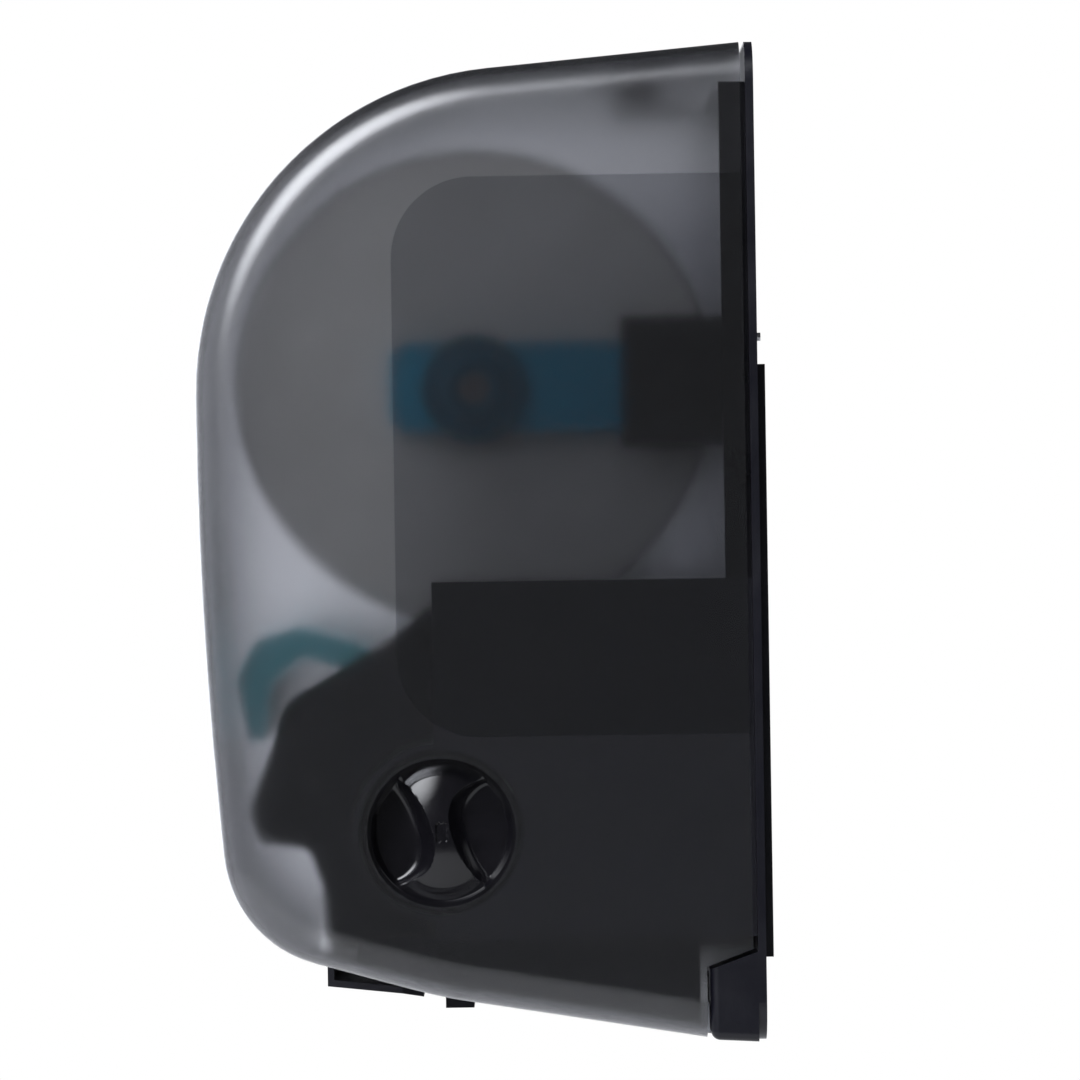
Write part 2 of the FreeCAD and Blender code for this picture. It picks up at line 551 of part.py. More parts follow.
def make_chute():
    across_module("module_deck",
                  box_loop("-deck_out", "-(deck_drop + deck_wall)", f"-{PLATE_FRONT}", "-deck_drop"))
    across_module("chute_front", [
        ("-lip_out", "-chute_top"), ("-lip_out", "-lip_drop"), ("-lip_join", "-lip_join_drop"),
        ("-lip_join", "-(lip_join_drop - chute_wall)"),
        ("-(lip_out - chute_wall)", "-(lip_drop - chute_wall)"),
        ("-(lip_out - chute_wall)", "-chute_top")])
    across_module("chute_guard", [
        ("-lip_join", "-lip_join_drop"), ("-slot_front", "-guard_drop"), ("-slot_front", "-guard_top"),
        ("-(slot_front + chute_wall)", "-guard_top"),
        ("-(slot_front + chute_wall)", "-(guard_drop - chute_wall - 0.4)"),
        ("-lip_join", "-(lip_join_drop - chute_wall)")])
    across_module("chute_rear", [
        ("-slot_rear", "-(guard_top + 4)"), ("-slot_rear", "-rear_lip_drop"),
        ("-rear_lip_out", "-rear_lip_drop"), ("-rear_lip_out", "-(guard_top + 10.5)"),
        ("-(rear_lip_out - 3)", "-(guard_top + 10.5)"),
        near_drum("51.4", "-24.5"), near_drum("49.6", "-22.7"), ("-(rear_lip_out - 2.5)", "-(guard_top + 7)"),
        ("-(rear_lip_out + 8)", "-(guard_top + 4)")])


def make_small_fixtures():
    cam = new_body("cam_track")
    start, length = mirrored(-1, f"{PLATE_INSIDE} - cam_wall", "cam_wall")
    pad(cam, "YZ", start, length, disc(DRUM_AXIS, "cam_r"), disc(DRUM_AXIS, "cam_bore"))
    groove = ("-(drum_out - 4)", "-drum_drop")
    cut(cam, "YZ", f"{start} + cam_wall - cam_groove_depth", "cam_groove_depth",
        disc(groove, "cam_r - 8"), disc(groove, "cam_r - 8 - cam_groove"))

    pin = new_body("pawl_pin")
    pad(pin, "YZ", PLATE_INSIDE, "plate_wall + ratchet_gap + ratchet_wall + 1",
        disc(("-pawl_out", "-pawl_drop"), "pawl_pin_r"))

    pins = []
    for name, side in SIDES:
        start, length = mirrored(side, f"{PLATE_INSIDE} - bar_side_gap - 6", "bar_side_gap + 6 + plate_wall")
        one = new_body(f"transfer_pin_{name}")
        pad(one, "YZ", start, length, disc(("-bar_pin_out", "-bar_pin_drop"), "bar_pin_r"))
        pins.append(one)
    group = doc.addObject("Part::Compound", "transfer_pins")
    group.Links = pins
    group.Label = "transfer_pins"
    doc.recompute()

    catch = new_body("lock_catch")
    left = "barrel_r + catch_gap"
    right = "barrel_r + catch_gap + catch_width"
    front = "(lock_out + tongue_half + tongue_play)"
    low = "(top_rear - flange_drop - flange_wall - catch_wall)"
    pad(catch, "XY", low, "catch_wall", box_loop(left, f"-{front}", right, f"-{PLATE_FRONT}"))
    pad(catch, "XY", low, f"{TONGUE_LOW} + tongue_wall - {low}",
        box_loop(left, f"-({front} + catch_wall)", right, f"-{front}"))
    pad(catch, "XY", f"{low} - catch_foot", "catch_foot + catch_wall",
        box_loop(left, f"-({PLATE_FRONT} + catch_wall)", right, f"-{PLATE_FRONT}"))


# ---- lock -----------------------------------------------------------------------------------------------

def make_lock():
    axis = ("0", "-lock_out")
    barrel = new_body("lock_barrel")
    pad(barrel, "XY", f"{LOCK_TOP} - barrel_length", "barrel_length",
        disc(axis, "barrel_r"), disc(axis, "plug_r + run_gap"))
    nut = new_body("lock_nut")
    pad(nut, "XY", f"{LOCK_TOP} - nut_drop - nut_wall", "nut_wall",
        disc(axis, "nut_r"), disc(axis, "barrel_r"))
    plug = new_body("lock_plug")
    pad(plug, "XY", TONGUE_LOW, "tongue_drop", disc(axis, "plug_r"))
    cut(plug, "XY", f"{LOCK_TOP} - 4", "5",
        box_loop("-key_slot/2", "-(lock_out + 3.5)", "key_slot/2", "-(lock_out - 3.5)"))
    tongue = new_body("lock_tongue")
    pad(tongue, "XY", TONGUE_LOW, "tongue_wall",
        box_loop("-tongue_half", "-(lock_out + 3)", "tongue_half", "-(lock_out - tongue_reach)"))
    pad(tongue, "XY", TONGUE_LOW, "tongue_wall", disc(axis, "plug_r + 2.5"))
    cut(tongue, "XY", f"{TONGUE_LOW} - 1", "tongue_wall + 2", disc(axis, "plug_r"))


# ---- drum, knife, roller, ratchet and knob --------------------------------------------------------------

def pinch_axis():
    reach = "(drum_r + pinch_r + pinch_gap)"
    return (f"-drum_out + {reach}*cos(pinch_turn*1deg)", f"-drum_drop + {reach}*sin(pinch_turn*1deg)")


def near_drum(out, up):
    """A place beside the drum's axis: out towards the wall, and up."""
    return (f"-drum_out + ({out})", f"-drum_drop + ({up})")


def knife_axis():
    return near_drum("knife_pin_out", "-knife_pin_drop")


def knife_slot():
    low = near_drum("drum_r/2 + 16", "-slot_half")
    high = near_drum("drum_r + 5", "slot_half")
    return box_loop(low[0], low[1], high[0], high[1])


def make_drum():
    shell = new_body("drum_shell")
    pad(shell, "YZ", f"-{DRUM_HALF}", f"2*{DRUM_HALF}", disc(DRUM_AXIS, "drum_r"),
        disc(DRUM_AXIS, "drum_r - drum_wall"))
    slot_half = f"({DRUM_HALF} - blade_side_gap + 1)"
    cut(shell, "YZ", f"-{slot_half}", f"2*{slot_half}", knife_slot())
    for name, side in SIDES:
        end = new_body(f"drum_end_{name}")
        start, length = mirrored(side, f"{DRUM_HALF} - drum_end_wall", "drum_end_wall")
        pad(end, "YZ", start, length, disc(DRUM_AXIS, "drum_r - drum_wall"), disc(DRUM_AXIS, "shaft_r"))
        cut(end, "YZ", start, length, disc(knife_axis(), "knife_pin_r + run_gap"))
    shaft = new_body("drum_shaft")
    pad(shaft, "YZ", f"-({PLATE_SIDE} + 4)", f"{PLATE_SIDE} + 4 + {KNOB_START} + knob_base + 1",
        disc(DRUM_AXIS, "shaft_r"))
    clip = new_body("shaft_clip")
    start, length = mirrored(-1, f"{PLATE_SIDE} + 1", "clip_wall")
    pad(clip, "YZ", start, length, disc(DRUM_AXIS, "clip_r"), disc(DRUM_AXIS, "shaft_r"))

    bands = []
    for place in (-1, 0, 1):
        band = new_body(f"grip_band_{place + 2}")
        pad(band, "YZ", f"{place}*band_pitch - band_width/2", "band_width",
            disc(DRUM_AXIS, "drum_r + band_wall"), disc(DRUM_AXIS, "drum_r"))
        cut(band, "YZ", f"{place}*band_pitch - band_width", "2*band_width", knife_slot())
        bands.append(band)
    group = doc.addObject("Part::Compound", "grip_bands")
    group.Links = bands
    group.Label = "grip_bands"
    doc.recompute()


def make_knife():
    half = f"({DRUM_HALF} - blade_side_gap)"
    bar = new_body("knife_bar")
    corners = [near_drum("knife_pin_out - 3", "-(knife_pin_drop + 3)"),
               near_drum("knife_pin_out + 2.5", "-(knife_pin_drop + 2)"),
               near_drum("knife_pin_out + 6", "-6"), near_drum("knife_pin_out + 6", "0"),
               near_drum("knife_pin_out", "0"), near_drum("knife_pin_out", "-8")]
    pad(bar, "YZ", f"-{half}", f"2*{half}", corners)
    pad(bar, "YZ", f"-{DRUM_HALF}", f"2*{DRUM_HALF}", disc(knife_axis(), "knife_pin_r"))
    blade = new_body("knife_blade")
    low = near_drum("knife_pin_out", "0")
    high = near_drum("blade_reach", "blade_wall")
    pad(blade, "YZ", f"-{half}", f"2*{half}", box_loop(low[0], low[1], high[0], high[1]))


def make_pinch_roller():
    shaft = new_body("pinch_shaft")
    pad(shaft, "YZ", f"-({PLATE_SIDE} - 1)", f"2*({PLATE_SIDE} - 1)", disc(pinch_axis(), "pinch_shaft_r"))
    sleeves = []
    for place in ("-sleeve_pitch_out", "-sleeve_pitch_in", "sleeve_pitch_in", "sleeve_pitch_out"):
        sleeve = new_body(f"pinch_sleeve_{len(sleeves) + 1}")
        pad(sleeve, "YZ", f"{place} - sleeve_width/2", "sleeve_width", disc(pinch_axis(), "pinch_r"),
            disc(pinch_axis(), "pinch_shaft_r"))
        sleeves.append(sleeve)
    group = doc.addObject("Part::Compound", "pinch_sleeves")
    group.Links = sleeves
    group.Label = "pinch_sleeves"
    doc.recompute()


def make_ratchet():
    wheel = new_body("ratchet_wheel")
    teeth = 16
    inner = "(ratchet_r - ratchet_depth)"
    corners = []
    for tooth in range(teeth):
        tip = f"({tooth}*360deg/{teeth})"
        root = f"(({tooth} + 0.9)*360deg/{teeth})"
        corners.append(near_drum(f"ratchet_r*cos({tip})", f"ratchet_r*sin({tip})"))
        corners.append(near_drum(f"{inner}*cos({root})", f"{inner}*sin({root})"))
    pad(wheel, "YZ", f"{PLATE_SIDE} + ratchet_gap", "ratchet_wall", corners, disc(DRUM_AXIS, "shaft_r"))

    pawl = new_body("ratchet_pawl")
    pivot = ("-pawl_out", "-pawl_drop")
    tip = near_drum("0.5*(ratchet_r + 0.8)", "0.866*(ratchet_r + 0.8)")
    finger = [("-pawl_out", "-(pawl_drop - 4)"), (f"{tip[0]} + 1", f"{tip[1]} + 3"), tip,
              (f"{tip[0]} + 3", f"{tip[1]} - 0.3"), ("-pawl_out", "-(pawl_drop + 4)")]
    pad(pawl, "YZ", f"{PLATE_SIDE} + ratchet_gap", "ratchet_wall", disc(pivot, "2*pawl_pin_r"))
    pad(pawl, "YZ", f"{PLATE_SIDE} + ratchet_gap", "ratchet_wall", finger)
    cut(pawl, "YZ", f"{PLATE_SIDE} + ratchet_gap - 1", "ratchet_wall + 2",
        disc(pivot, "pawl_pin_r + run_gap"))


def make_knob():
    knob = new_body("feed_knob")
    pad(knob, "YZ", KNOB_START, "knob_base", disc(DRUM_AXIS, "knob_r"))
    pad(knob, "YZ", KNOB_START, "knob_depth - 1.5",
        disc(DRUM_AXIS, "knob_r"), disc(DRUM_AXIS, "knob_r - knob_rim"))
    ridge = [near_drum(out, up) for out, up in (
        ("-knob_ridge", "0.8*knob_r"), ("-knob_waist", "0"), ("-knob_ridge", "-0.8*knob_r"),
        ("knob_ridge", "-0.8*knob_r"), ("knob_waist", "0"), ("knob_ridge", "0.8*knob_r"))]
    pad(knob, "YZ", KNOB_START, "knob_depth", ridge)
    cut(knob, "YZ", f"{KNOB_START} - 1", "knob_base + 2", disc(DRUM_AXIS, "shaft_r"))


# ---- transfer bar ---------------------------------------------------------------------------------------

def make_transfer_bar():
    bar = new_body("transfer_bar")
    half = f"({PLATE_INSIDE} - bar_side_gap)"
    corners = [(f"-bar_pin_out - {out}", f"-bar_pin_drop + {up}") for out, up in (
        (64.9, -0.7), (57.2, 15.8), (39.6, 22.1), (19, 16.8), (-3.5, 6), (-5.5, -4), (4.5, -6),
        (21.5, 3.5), (37.5, 8), (50.5, -2), (54.5, -25.7), (59.5, -25.7))]
    pad(bar, "YZ", f"-{half}", f"2*{half}", corners)
    fillet(bar, "X", [corners[0], corners[1], corners[2]], "9")
    cut(bar, "YZ", f"-({half} + 1)", f"2*({half} + 1)",
        disc(("-bar_pin_out", "-bar_pin_drop"), "bar_pin_r + run_gap"))


# ---- roll and arms --------------------------------------------------------------------------------------

def make_roll():
    roll = new_body("towel_roll")
    pad(roll, "YZ", "-roll_width/2", "roll_width",
        disc(ROLL_AXIS, "roll_r"), disc(ROLL_AXIS, "core_r + core_wall"))
    core = new_body("roll_core")
    pad(core, "YZ", "-roll_width/2", "roll_width",
        disc(ROLL_AXIS, "core_r + core_wall"), disc(ROLL_AXIS, "core_r"))


def make_arm(name, side):
    arm = new_body(f"roll_arm_{name}")
    start, length = mirrored(side, ARM_START, "arm_wall")
    tip = "-(roll_out + arm_tip)"
    top = "roll_height + arm_top"
    low = "roll_height - arm_low"
    pad(arm, "YZ", start, length, box_loop(tip, low, "-arm_pin_out", top))
    fillet(arm, "X", [(tip, low), (tip, top)], "arm_tip_r")
    pivot = (signed(side, ARM_MIDDLE), "-arm_pin_out")
    pad(arm, "XY", low, "arm_top + arm_low", disc(pivot, "arm_eye_r"))
    cut(arm, "XY", f"{low} - 1", "arm_top + arm_low + 2", disc(pivot, "arm_pin_r + run_gap"))
    cut(arm, "YZ", start, length, disc(ROLL_AXIS, "axle_r + run_gap"))

    hub = new_body(f"roll_hub_{name}")
    start, length = mirrored(side, HUB_START, "hub_flange")
    pad(hub, "YZ", start, length, disc(ROLL_AXIS, "hub_r"))
    start, length = mirrored(side, f"{HUB_START} + hub_flange", "arm_gap + arm_wall + arm_gap")
    pad(hub, "YZ", start, length, disc(ROLL_AXIS, "axle_r"))
    sections = [draw(hub, "YZ", signed(side, HUB_START), [disc(ROLL_AXIS, "hub_stub_r")]),
                draw(hub, "YZ", signed(side, f"{HUB_START} - hub_stub"),
                     [disc(ROLL_AXIS, "hub_stub_r - hub_stub_taper")])]
    stub = hub.newObject("PartDesign::AdditiveLoft", hub.Name + "_stub")
    stub.Profile = sections[0]
    stub.Sections = [sections[1]]
    stub.Ruled = True
    doc.recompute()

    cap = new_body(f"hub_cap_{name}")
    face = f"({ARM_START} + arm_wall + arm_gap)"
    start, length = mirrored(side, face, "cap_wall")
    pad(cap, "YZ", start, length, disc(ROLL_AXIS, "hub_r"))
    start, length = mirrored(side, f"{face} + cap_wall", "cap_boss")
    pad(cap, "YZ", start, length, disc(ROLL_AXIS, "cap_boss_r"))


make_cover()
make_plaque()
make_back_plate()
make_bracket_screws()
make_nose()
make_chute()
make_small_fixtures()
make_lock()
make_drum()
make_knife()
make_pinch_roller()
make_ratchet()
make_knob()
make_transfer_bar()
make_roll()
for side_name, side_sign in SIDES:
    make_hinge(side_name, side_sign)
    make_bracket(side_name, side_sign)
    make_housing(side_name, side_sign)
    make_module_plate(side_name, side_sign)
    make_arm(side_name, side_sign)
doc.recompute()

# Bodies that only serve a boolean or a group aren't sub-parts.
inner_names = set()
for item in doc.Objects:
    for operand in item.OutList:
        if item.isDerivedFrom("Part::Boolean") or item.TypeId == "Part::Compound":
            inner_names.add(operand.Name)
sub_parts = [item for item in doc.Objects
             if item.TypeId in ("PartDesign::Body", "Part::Compound", "Part::Common")
             and item.Name not in inner_names]

faulty = [item.Label for item in doc.Objects if "Invalid" in item.State or "Error" in item.State]
if faulty:
    raise RuntimeError(f"objects that failed: {faulty}")
os.makedirs("parts", exist_ok=True)
for item in sub_parts:
    shape = item.Shape
    if shape.isNull() or not shape.isValid() or not shape.Solids:
        raise RuntimeError(f"{item.Label} has no valid solid")
for item in sub_parts:
    item.Shape.exportStep(f"parts/{item.Label}.step")
print(f"{len(sub_parts)} sub-parts written")
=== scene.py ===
import json
import math

import bmesh
import bpy
from mathutils import Matrix, Vector


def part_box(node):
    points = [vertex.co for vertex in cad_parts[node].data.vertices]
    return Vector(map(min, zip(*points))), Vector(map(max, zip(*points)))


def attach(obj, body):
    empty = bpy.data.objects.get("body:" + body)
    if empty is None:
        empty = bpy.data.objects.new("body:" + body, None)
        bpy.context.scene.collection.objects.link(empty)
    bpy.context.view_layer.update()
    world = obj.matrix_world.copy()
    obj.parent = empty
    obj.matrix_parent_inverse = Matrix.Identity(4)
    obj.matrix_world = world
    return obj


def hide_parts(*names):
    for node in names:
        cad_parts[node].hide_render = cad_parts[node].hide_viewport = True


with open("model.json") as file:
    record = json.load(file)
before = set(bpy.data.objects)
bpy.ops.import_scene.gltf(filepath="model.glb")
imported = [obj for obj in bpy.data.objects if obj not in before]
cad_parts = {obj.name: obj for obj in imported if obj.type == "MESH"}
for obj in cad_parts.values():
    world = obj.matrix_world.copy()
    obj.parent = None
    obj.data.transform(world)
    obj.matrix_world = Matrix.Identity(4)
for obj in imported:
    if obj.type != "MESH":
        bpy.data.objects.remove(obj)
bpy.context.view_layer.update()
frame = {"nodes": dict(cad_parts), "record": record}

# Wall mounted roll towel dispenser. Everything is in metres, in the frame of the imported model:
# +X is the side with the feed knob, -Y the front, +Z up, and the wall is the plane Y = 0.

MM = 0.001
NODES = frame["nodes"]
SIDES = (("right", 1), ("left", -1))


# ---- camera, light and floor -----------------------------------------------------------------------------

CAMERA_PLACE = Vector((2.363, -0.0921, 0.0011))
CAMERA_LEAN = math.radians(0.875)
CAMERA_LENS = 182.2


def make_camera():
    data = bpy.data.cameras.new("camera")
    data.lens = CAMERA_LENS
    data.sensor_width = 36.0
    data.clip_start = 0.05
    data.clip_end = 60.0
    camera = bpy.data.objects.new("camera", data)
    bpy.context.scene.collection.objects.link(camera)
    right = Vector((0, math.cos(CAMERA_LEAN), -math.sin(CAMERA_LEAN)))
    up = Vector((0, math.sin(CAMERA_LEAN), math.cos(CAMERA_LEAN)))
    back = Vector((1, 0, 0))
    turn = Matrix((right, up, back)).transposed()
    camera.matrix_world = Matrix.Translation(CAMERA_PLACE) @ turn.to_4x4()
    bpy.context.scene.camera = camera


# Each soft light of the studio: its direction, the cosines from it where it starts and is full, its strength.
STUDIO_LIGHTS = (
    ((-0.94, -0.34, -0.04), 0.895, 0.99, 3.0),
    ((0.64, -0.48, 0.60), 0.87, 1.0, 12.5),
    ((-0.35, -0.90, 0.10), 0.60, 0.98, 0.5),
)
STUDIO_FILL = 0.07
STUDIO_COLOUR = (0.93, 0.95, 1.0, 1)


def make_world():
    """White to the camera, and a soft studio to everything else."""
    world = bpy.data.worlds.new("studio")
    bpy.context.scene.world = world
    world.use_nodes = True
    tree = world.node_tree
    tree.nodes.clear()
    place = tree.nodes.new("ShaderNodeTexCoord")
    total = None
    # Each soft light is a smooth spot about its direction, and all are added to an even fill.
    for direction, start, full, strength in STUDIO_LIGHTS:
        dot = tree.nodes.new("ShaderNodeVectorMath")
        dot.operation = "DOT_PRODUCT"
        dot.inputs[1].default_value = Vector(direction).normalized()
        tree.links.new(place.outputs["Generated"], dot.inputs[0])
        ramp = tree.nodes.new("ShaderNodeMapRange")
        ramp.interpolation_type = "SMOOTHSTEP"
        ramp.inputs["From Min"].default_value = start
        ramp.inputs["From Max"].default_value = full
        ramp.inputs["To Max"].default_value = strength
        tree.links.new(dot.outputs["Value"], ramp.inputs["Value"])
        add = tree.nodes.new("ShaderNodeMath")
        add.operation = "ADD"
        tree.links.new(ramp.outputs["Result"], add.inputs[0])
        if total is None:
            add.inputs[1].default_value = STUDIO_FILL
        else:
            tree.links.new(total, add.inputs[1])
        total = add.outputs[0]
    studio = tree.nodes.new("ShaderNodeBackground")
    tree.links.new(total, studio.inputs["Strength"])
    plain = tree.nodes.new("ShaderNodeBackground")
    path = tree.nodes.new("ShaderNodeLightPath")
    mix = tree.nodes.new("ShaderNodeMixShader")
    tree.links.new(path.outputs["Is Camera Ray"], mix.inputs[0])
    tree.links.new(studio.outputs[0], mix.inputs[1])
    tree.links.new(plain.outputs[0], mix.inputs[2])
    output = tree.nodes.new("ShaderNodeOutputWorld")
    tree.links.new(mix.outputs[0], output.inputs[0])
    studio.inputs["Color"].default_value = STUDIO_COLOUR
    plain.inputs["Color"].default_value = (1, 1, 1, 1)


FLOOR_DROP = 1.2
FLOOR_RADIUS = 4.0


def make_floor(finish):
    mesh = bpy.data.meshes.new("floor")
    build = bmesh.new()
    bmesh.ops.create_circle(build, cap_ends=True, segments=128, radius=FLOOR_RADIUS)
    build.to_mesh(mesh)
    build.free()
    floor = bpy.data.objects.new("floor", mesh)
    bpy.context.scene.collection.objects.link(floor)
    floor.location = (0, 0, -FLOOR_DROP)
    mesh.materials.append(finish)


# ---- materials -------------------------------------------------------------------------------------------

class Shader:
    """A node tree round one Principled shader, with its texture space fixed to the piece."""

    def __init__(self, name):
        self.material = bpy.data.materials.new(name)
        self.material.use_nodes = True
        self.tree = self.material.node_tree
        self.tree.nodes.clear()
        self.surface = self.new("ShaderNodeBsdfPrincipled")
        self.output = self.new("ShaderNodeOutputMaterial")
        self.link(self.surface.outputs[0], self.output.inputs["Surface"])
        self.place = self.new("ShaderNodeTexCoord").outputs["Object"]

    def new(self, kind, **settings):
        node = self.tree.nodes.new(kind)
        for key, setting in settings.items():
            setattr(node, key, setting)
        return node

    def link(self, source, target):
        self.tree.links.new(source, target)

    def set(self, **sockets):
        for key, number in sockets.items():
            self.surface.inputs[key.replace("_", " ")].default_value = number

    def stretched(self, scale):
        node = self.new("ShaderNodeMapping")
        node.inputs["Scale"].default_value = scale
        self.link(self.place, node.inputs["Vector"])
        return node.outputs[0]

    def noise(self, scale, detail=3.0, rough=0.55, place=None, twist=0.0):
        node = self.new("ShaderNodeTexNoise")
        node.inputs["Scale"].default_value = scale
        node.inputs["Detail"].default_value = detail
        node.inputs["Roughness"].default_value = rough
        node.inputs["Distortion"].default_value = twist
        self.link(place or self.place, node.inputs["Vector"])
        return node.outputs["Fac"]

    def cells(self, scale, place=None):
        node = self.new("ShaderNodeTexVoronoi", feature="SMOOTH_F1")
        node.inputs["Scale"].default_value = scale
        node.inputs["Smoothness"].default_value = 0.6
        self.link(place or self.place, node.inputs["Vector"])
        return node.outputs["Distance"]

    def bands(self, scale, direction, place=None, twist=0.0):
        node = self.new("ShaderNodeTexWave", bands_direction=direction)
        node.inputs["Scale"].default_value = scale
        node.inputs["Distortion"].default_value = twist
        self.link(place or self.place, node.inputs["Vector"])
        return node.outputs["Fac"]

    def spread(self, source, low, high, start=0.3, end=0.7):
        node = self.new("ShaderNodeMapRange")
        for key, number in (("From Min", start), ("From Max", end), ("To Min", low), ("To Max", high)):
            node.inputs[key].default_value = number
        self.link(source, node.inputs["Value"])
        return node.outputs[0]

    def sum(self, first, second, share):
        node = self.new("ShaderNodeMath", operation="MULTIPLY_ADD")
        node.inputs[1].default_value = share
        self.link(second, node.inputs[0])
        self.link(first, node.inputs[2])
        return node.outputs[0]

    def tint(self, source, dark, light):
        node = self.new("ShaderNodeValToRGB")
        ramp = node.color_ramp
        ramp.elements[0].position, ramp.elements[0].color = 0.3, (*dark, 1)
        ramp.elements[1].position, ramp.elements[1].color = 0.7, (*light, 1)
        self.link(source, node.inputs[0])
        self.link(node.outputs[0], self.surface.inputs["Base Color"])

    def calculate(self, operation, first, second=0.0):
        node = self.new("ShaderNodeMath", operation=operation)
        for socket, source in zip(node.inputs, (first, second)):
            if isinstance(source, (int, float)):
                socket.default_value = source
            else:
                self.link(source, socket)
        return node.outputs[0]

    def rounded_area(self, low, high, radius, soft):
        """1 inside a rounded rectangle of the YZ plane and 0 outside it."""
        parts = self.new("ShaderNodeSeparateXYZ")
        self.link(self.place, parts.inputs[0])
        squares = []
        for axis in (1, 2):
            middle, half = (low[axis] + high[axis]) / 2, (high[axis] - low[axis]) / 2
            away = self.calculate("ABSOLUTE", self.calculate("SUBTRACT", parts.outputs[axis], middle))
            past = self.calculate("MAXIMUM", self.calculate("SUBTRACT", away, half - radius), 0.0)
            squares.append(self.calculate("MULTIPLY", past, past))
        reach = self.calculate("SQRT", self.calculate("ADD", *squares))
        return self.spread(reach, 1.0, 0.0, start=radius - soft, end=radius + soft)

    def roughness(self, source, low, high):
        self.link(self.spread(source, low, high), self.surface.inputs["Roughness"])

    def bump(self, source, height, strength=1.0):
        node = self.new("ShaderNodeBump")
        node.inputs["Distance"].default_value = height
        node.inputs["Strength"].default_value = strength
        self.link(source, node.inputs["Height"])
        self.link(node.outputs[0], self.surface.inputs["Normal"])


def shade(colour, factor):
    return tuple(min(1.0, channel * factor) for channel in colour)


def moulded(name, colour, low, high, grain, height, contrast=0.18, gloss=0.5):
    """Moulded plastic: spark eroded grain, soft flow marks in its colour and uneven gloss."""
    shader = Shader(name)
    flow = shader.noise(9.0, 4.0, place=shader.stretched((0.4, 1.0, 1.6)), twist=1.2)
    fine = shader.noise(grain, 2.0)
    shader.tint(shader.sum(flow, fine, 0.25), shade(colour, 1 - contrast), shade(colour, 1 + contrast))
    shader.roughness(shader.noise(35.0, 5.0, 0.65), low, high)
    pits = shader.cells(grain * 0.8)
    shader.bump(shader.sum(fine, pits, 0.6), height)
    shader.set(IOR=1.52, Specular_IOR_Level=gloss)
    return shader.material


SMOKE_DENSITY = 250.0
SMOKE_COLOUR = (0.038, 0.049, 0.106, 1)
# The polished panel inside each side of the cover, at rest: its low and high corner, its corner radius and
# half the width of its edge.
PANEL_LOW = Vector((0, -0.1505, -0.0779))
PANEL_HIGH = Vector((0, 0.0500, 0.1479))
PANEL_CORNER = 0.033
PANEL_EDGE = 0.0006


def make_smoke():
    """Smoke tinted clear plastic with a fine matte face, and a panel in each side tinted darker: partly the
    extra smoke of its thicker wall, partly painted shade.
    """
    shader = Shader("smoke_cover")
    shader.set(Transmission_Weight=1.0, IOR=1.5, Coat_Weight=0.5, Coat_Roughness=0.26)
    inward = NODES["cover"].matrix_world.inverted()
    panel = shader.rounded_area(inward @ PANEL_LOW, inward @ PANEL_HIGH, PANEL_CORNER, PANEL_EDGE)
    fine = shader.noise(1300.0, 2.0)
    grain = shader.cells(800.0)
    patches = shader.noise(14.0, 4.0, twist=0.6)
    # Inside the panel the cover is tinted darker: partly the extra smoke of its thicker wall, partly painted
    # shade for the diffuse light its polished face does not catch.
    shader.tint(panel, (1.0, 1.0, 1.0), (0.77, 0.775, 0.79))
    shader.roughness(shader.sum(shader.sum(fine, patches, 0.5), grain, -0.4), 0.228, 0.262)
    smoke = shader.new("ShaderNodeVolumeAbsorption")
    smoke.inputs["Color"].default_value = SMOKE_COLOUR
    smoke.inputs["Density"].default_value = SMOKE_DENSITY
    shader.link(smoke.outputs[0], shader.output.inputs["Volume"])
    return shader.material


def make_knob_finish():
    """Polished black plastic with faint hand marks."""
    shader = Shader("knob_plastic")
    marks = shader.noise(60.0, 6.0, 0.7, twist=0.8)
    shader.tint(marks, (0.0035, 0.0035, 0.0045), (0.0065, 0.006, 0.008))
    shader.roughness(marks, 0.10, 0.19)
    shader.bump(shader.noise(420.0, 3.0), 0.000012)
    shader.set(IOR=1.49)
    return shader.material


def make_metal(name, colour, low, high, run):
    """Drawn or plated metal: fine lines along its run and a patchy sheen."""
    shader = Shader(name)
    lines = shader.noise(320.0, 4.0, 0.6, place=shader.stretched(run))
    patches = shader.noise(50.0, 4.0)
    shader.tint(shader.sum(patches, lines, 0.4), shade(colour, 0.82), shade(colour, 1.08))
    shader.roughness(lines, low, high)
    shader.bump(lines, 0.00002)
    shader.set(Metallic=1.0)
    return shader.material


def make_paper_face():
    """Crepe towel: cross ridges, pressed dimples and a little fibre colour."""
    shader = Shader("paper")
    crepe = shader.noise(900.0, 3.0, 0.6, place=shader.stretched((0.25, 1.0, 1.0)), twist=0.4)
    dimples = shader.cells(260.0)
    fibre = shader.noise(2600.0, 4.0, 0.7)
    shader.tint(shader.sum(shader.noise(18.0, 4.0), fibre, 0.3), (0.60, 0.585, 0.55), (0.73, 0.715, 0.68))
    shader.roughness(fibre, 0.86, 0.97)
    shader.bump(shader.sum(crepe, dimples, 1.3), 0.00035)
    shader.set(Sheen_Weight=0.15, Sheen_Roughness=0.6)
    return shader.material


def make_board():
    shader = Shader("core_board")
    fibre = shader.noise(700.0, 5.0, 0.7, place=shader.stretched((1.0, 2.5, 2.5)))
    wraps = shader.bands(26.0, "DIAGONAL", twist=0.5)
    shader.tint(shader.sum(fibre, wraps, 0.12), (0.30, 0.22, 0.14), (0.48, 0.37, 0.25))
    shader.roughness(fibre, 0.75, 0.92)
    shader.bump(fibre, 0.00012)
    return shader.material


def make_rubber():
    shader = Shader("rubber")
    fine = shader.noise(1300.0, 3.0, 0.7)
    shader.tint(shader.noise(70.0, 4.0), (0.016, 0.016, 0.017), (0.034, 0.033, 0.032))
    shader.roughness(fine, 0.68, 0.85)
    shader.bump(fine, 0.00006)
    return shader.material


def make_floor_finish():
    shader = Shader("floor_finish")
    cloud = shader.noise(1.5, 4.0)
    shader.tint(cloud, (0.80, 0.80, 0.80), (0.86, 0.86, 0.855))
    shader.roughness(cloud, 0.6, 0.75)
    return shader.material


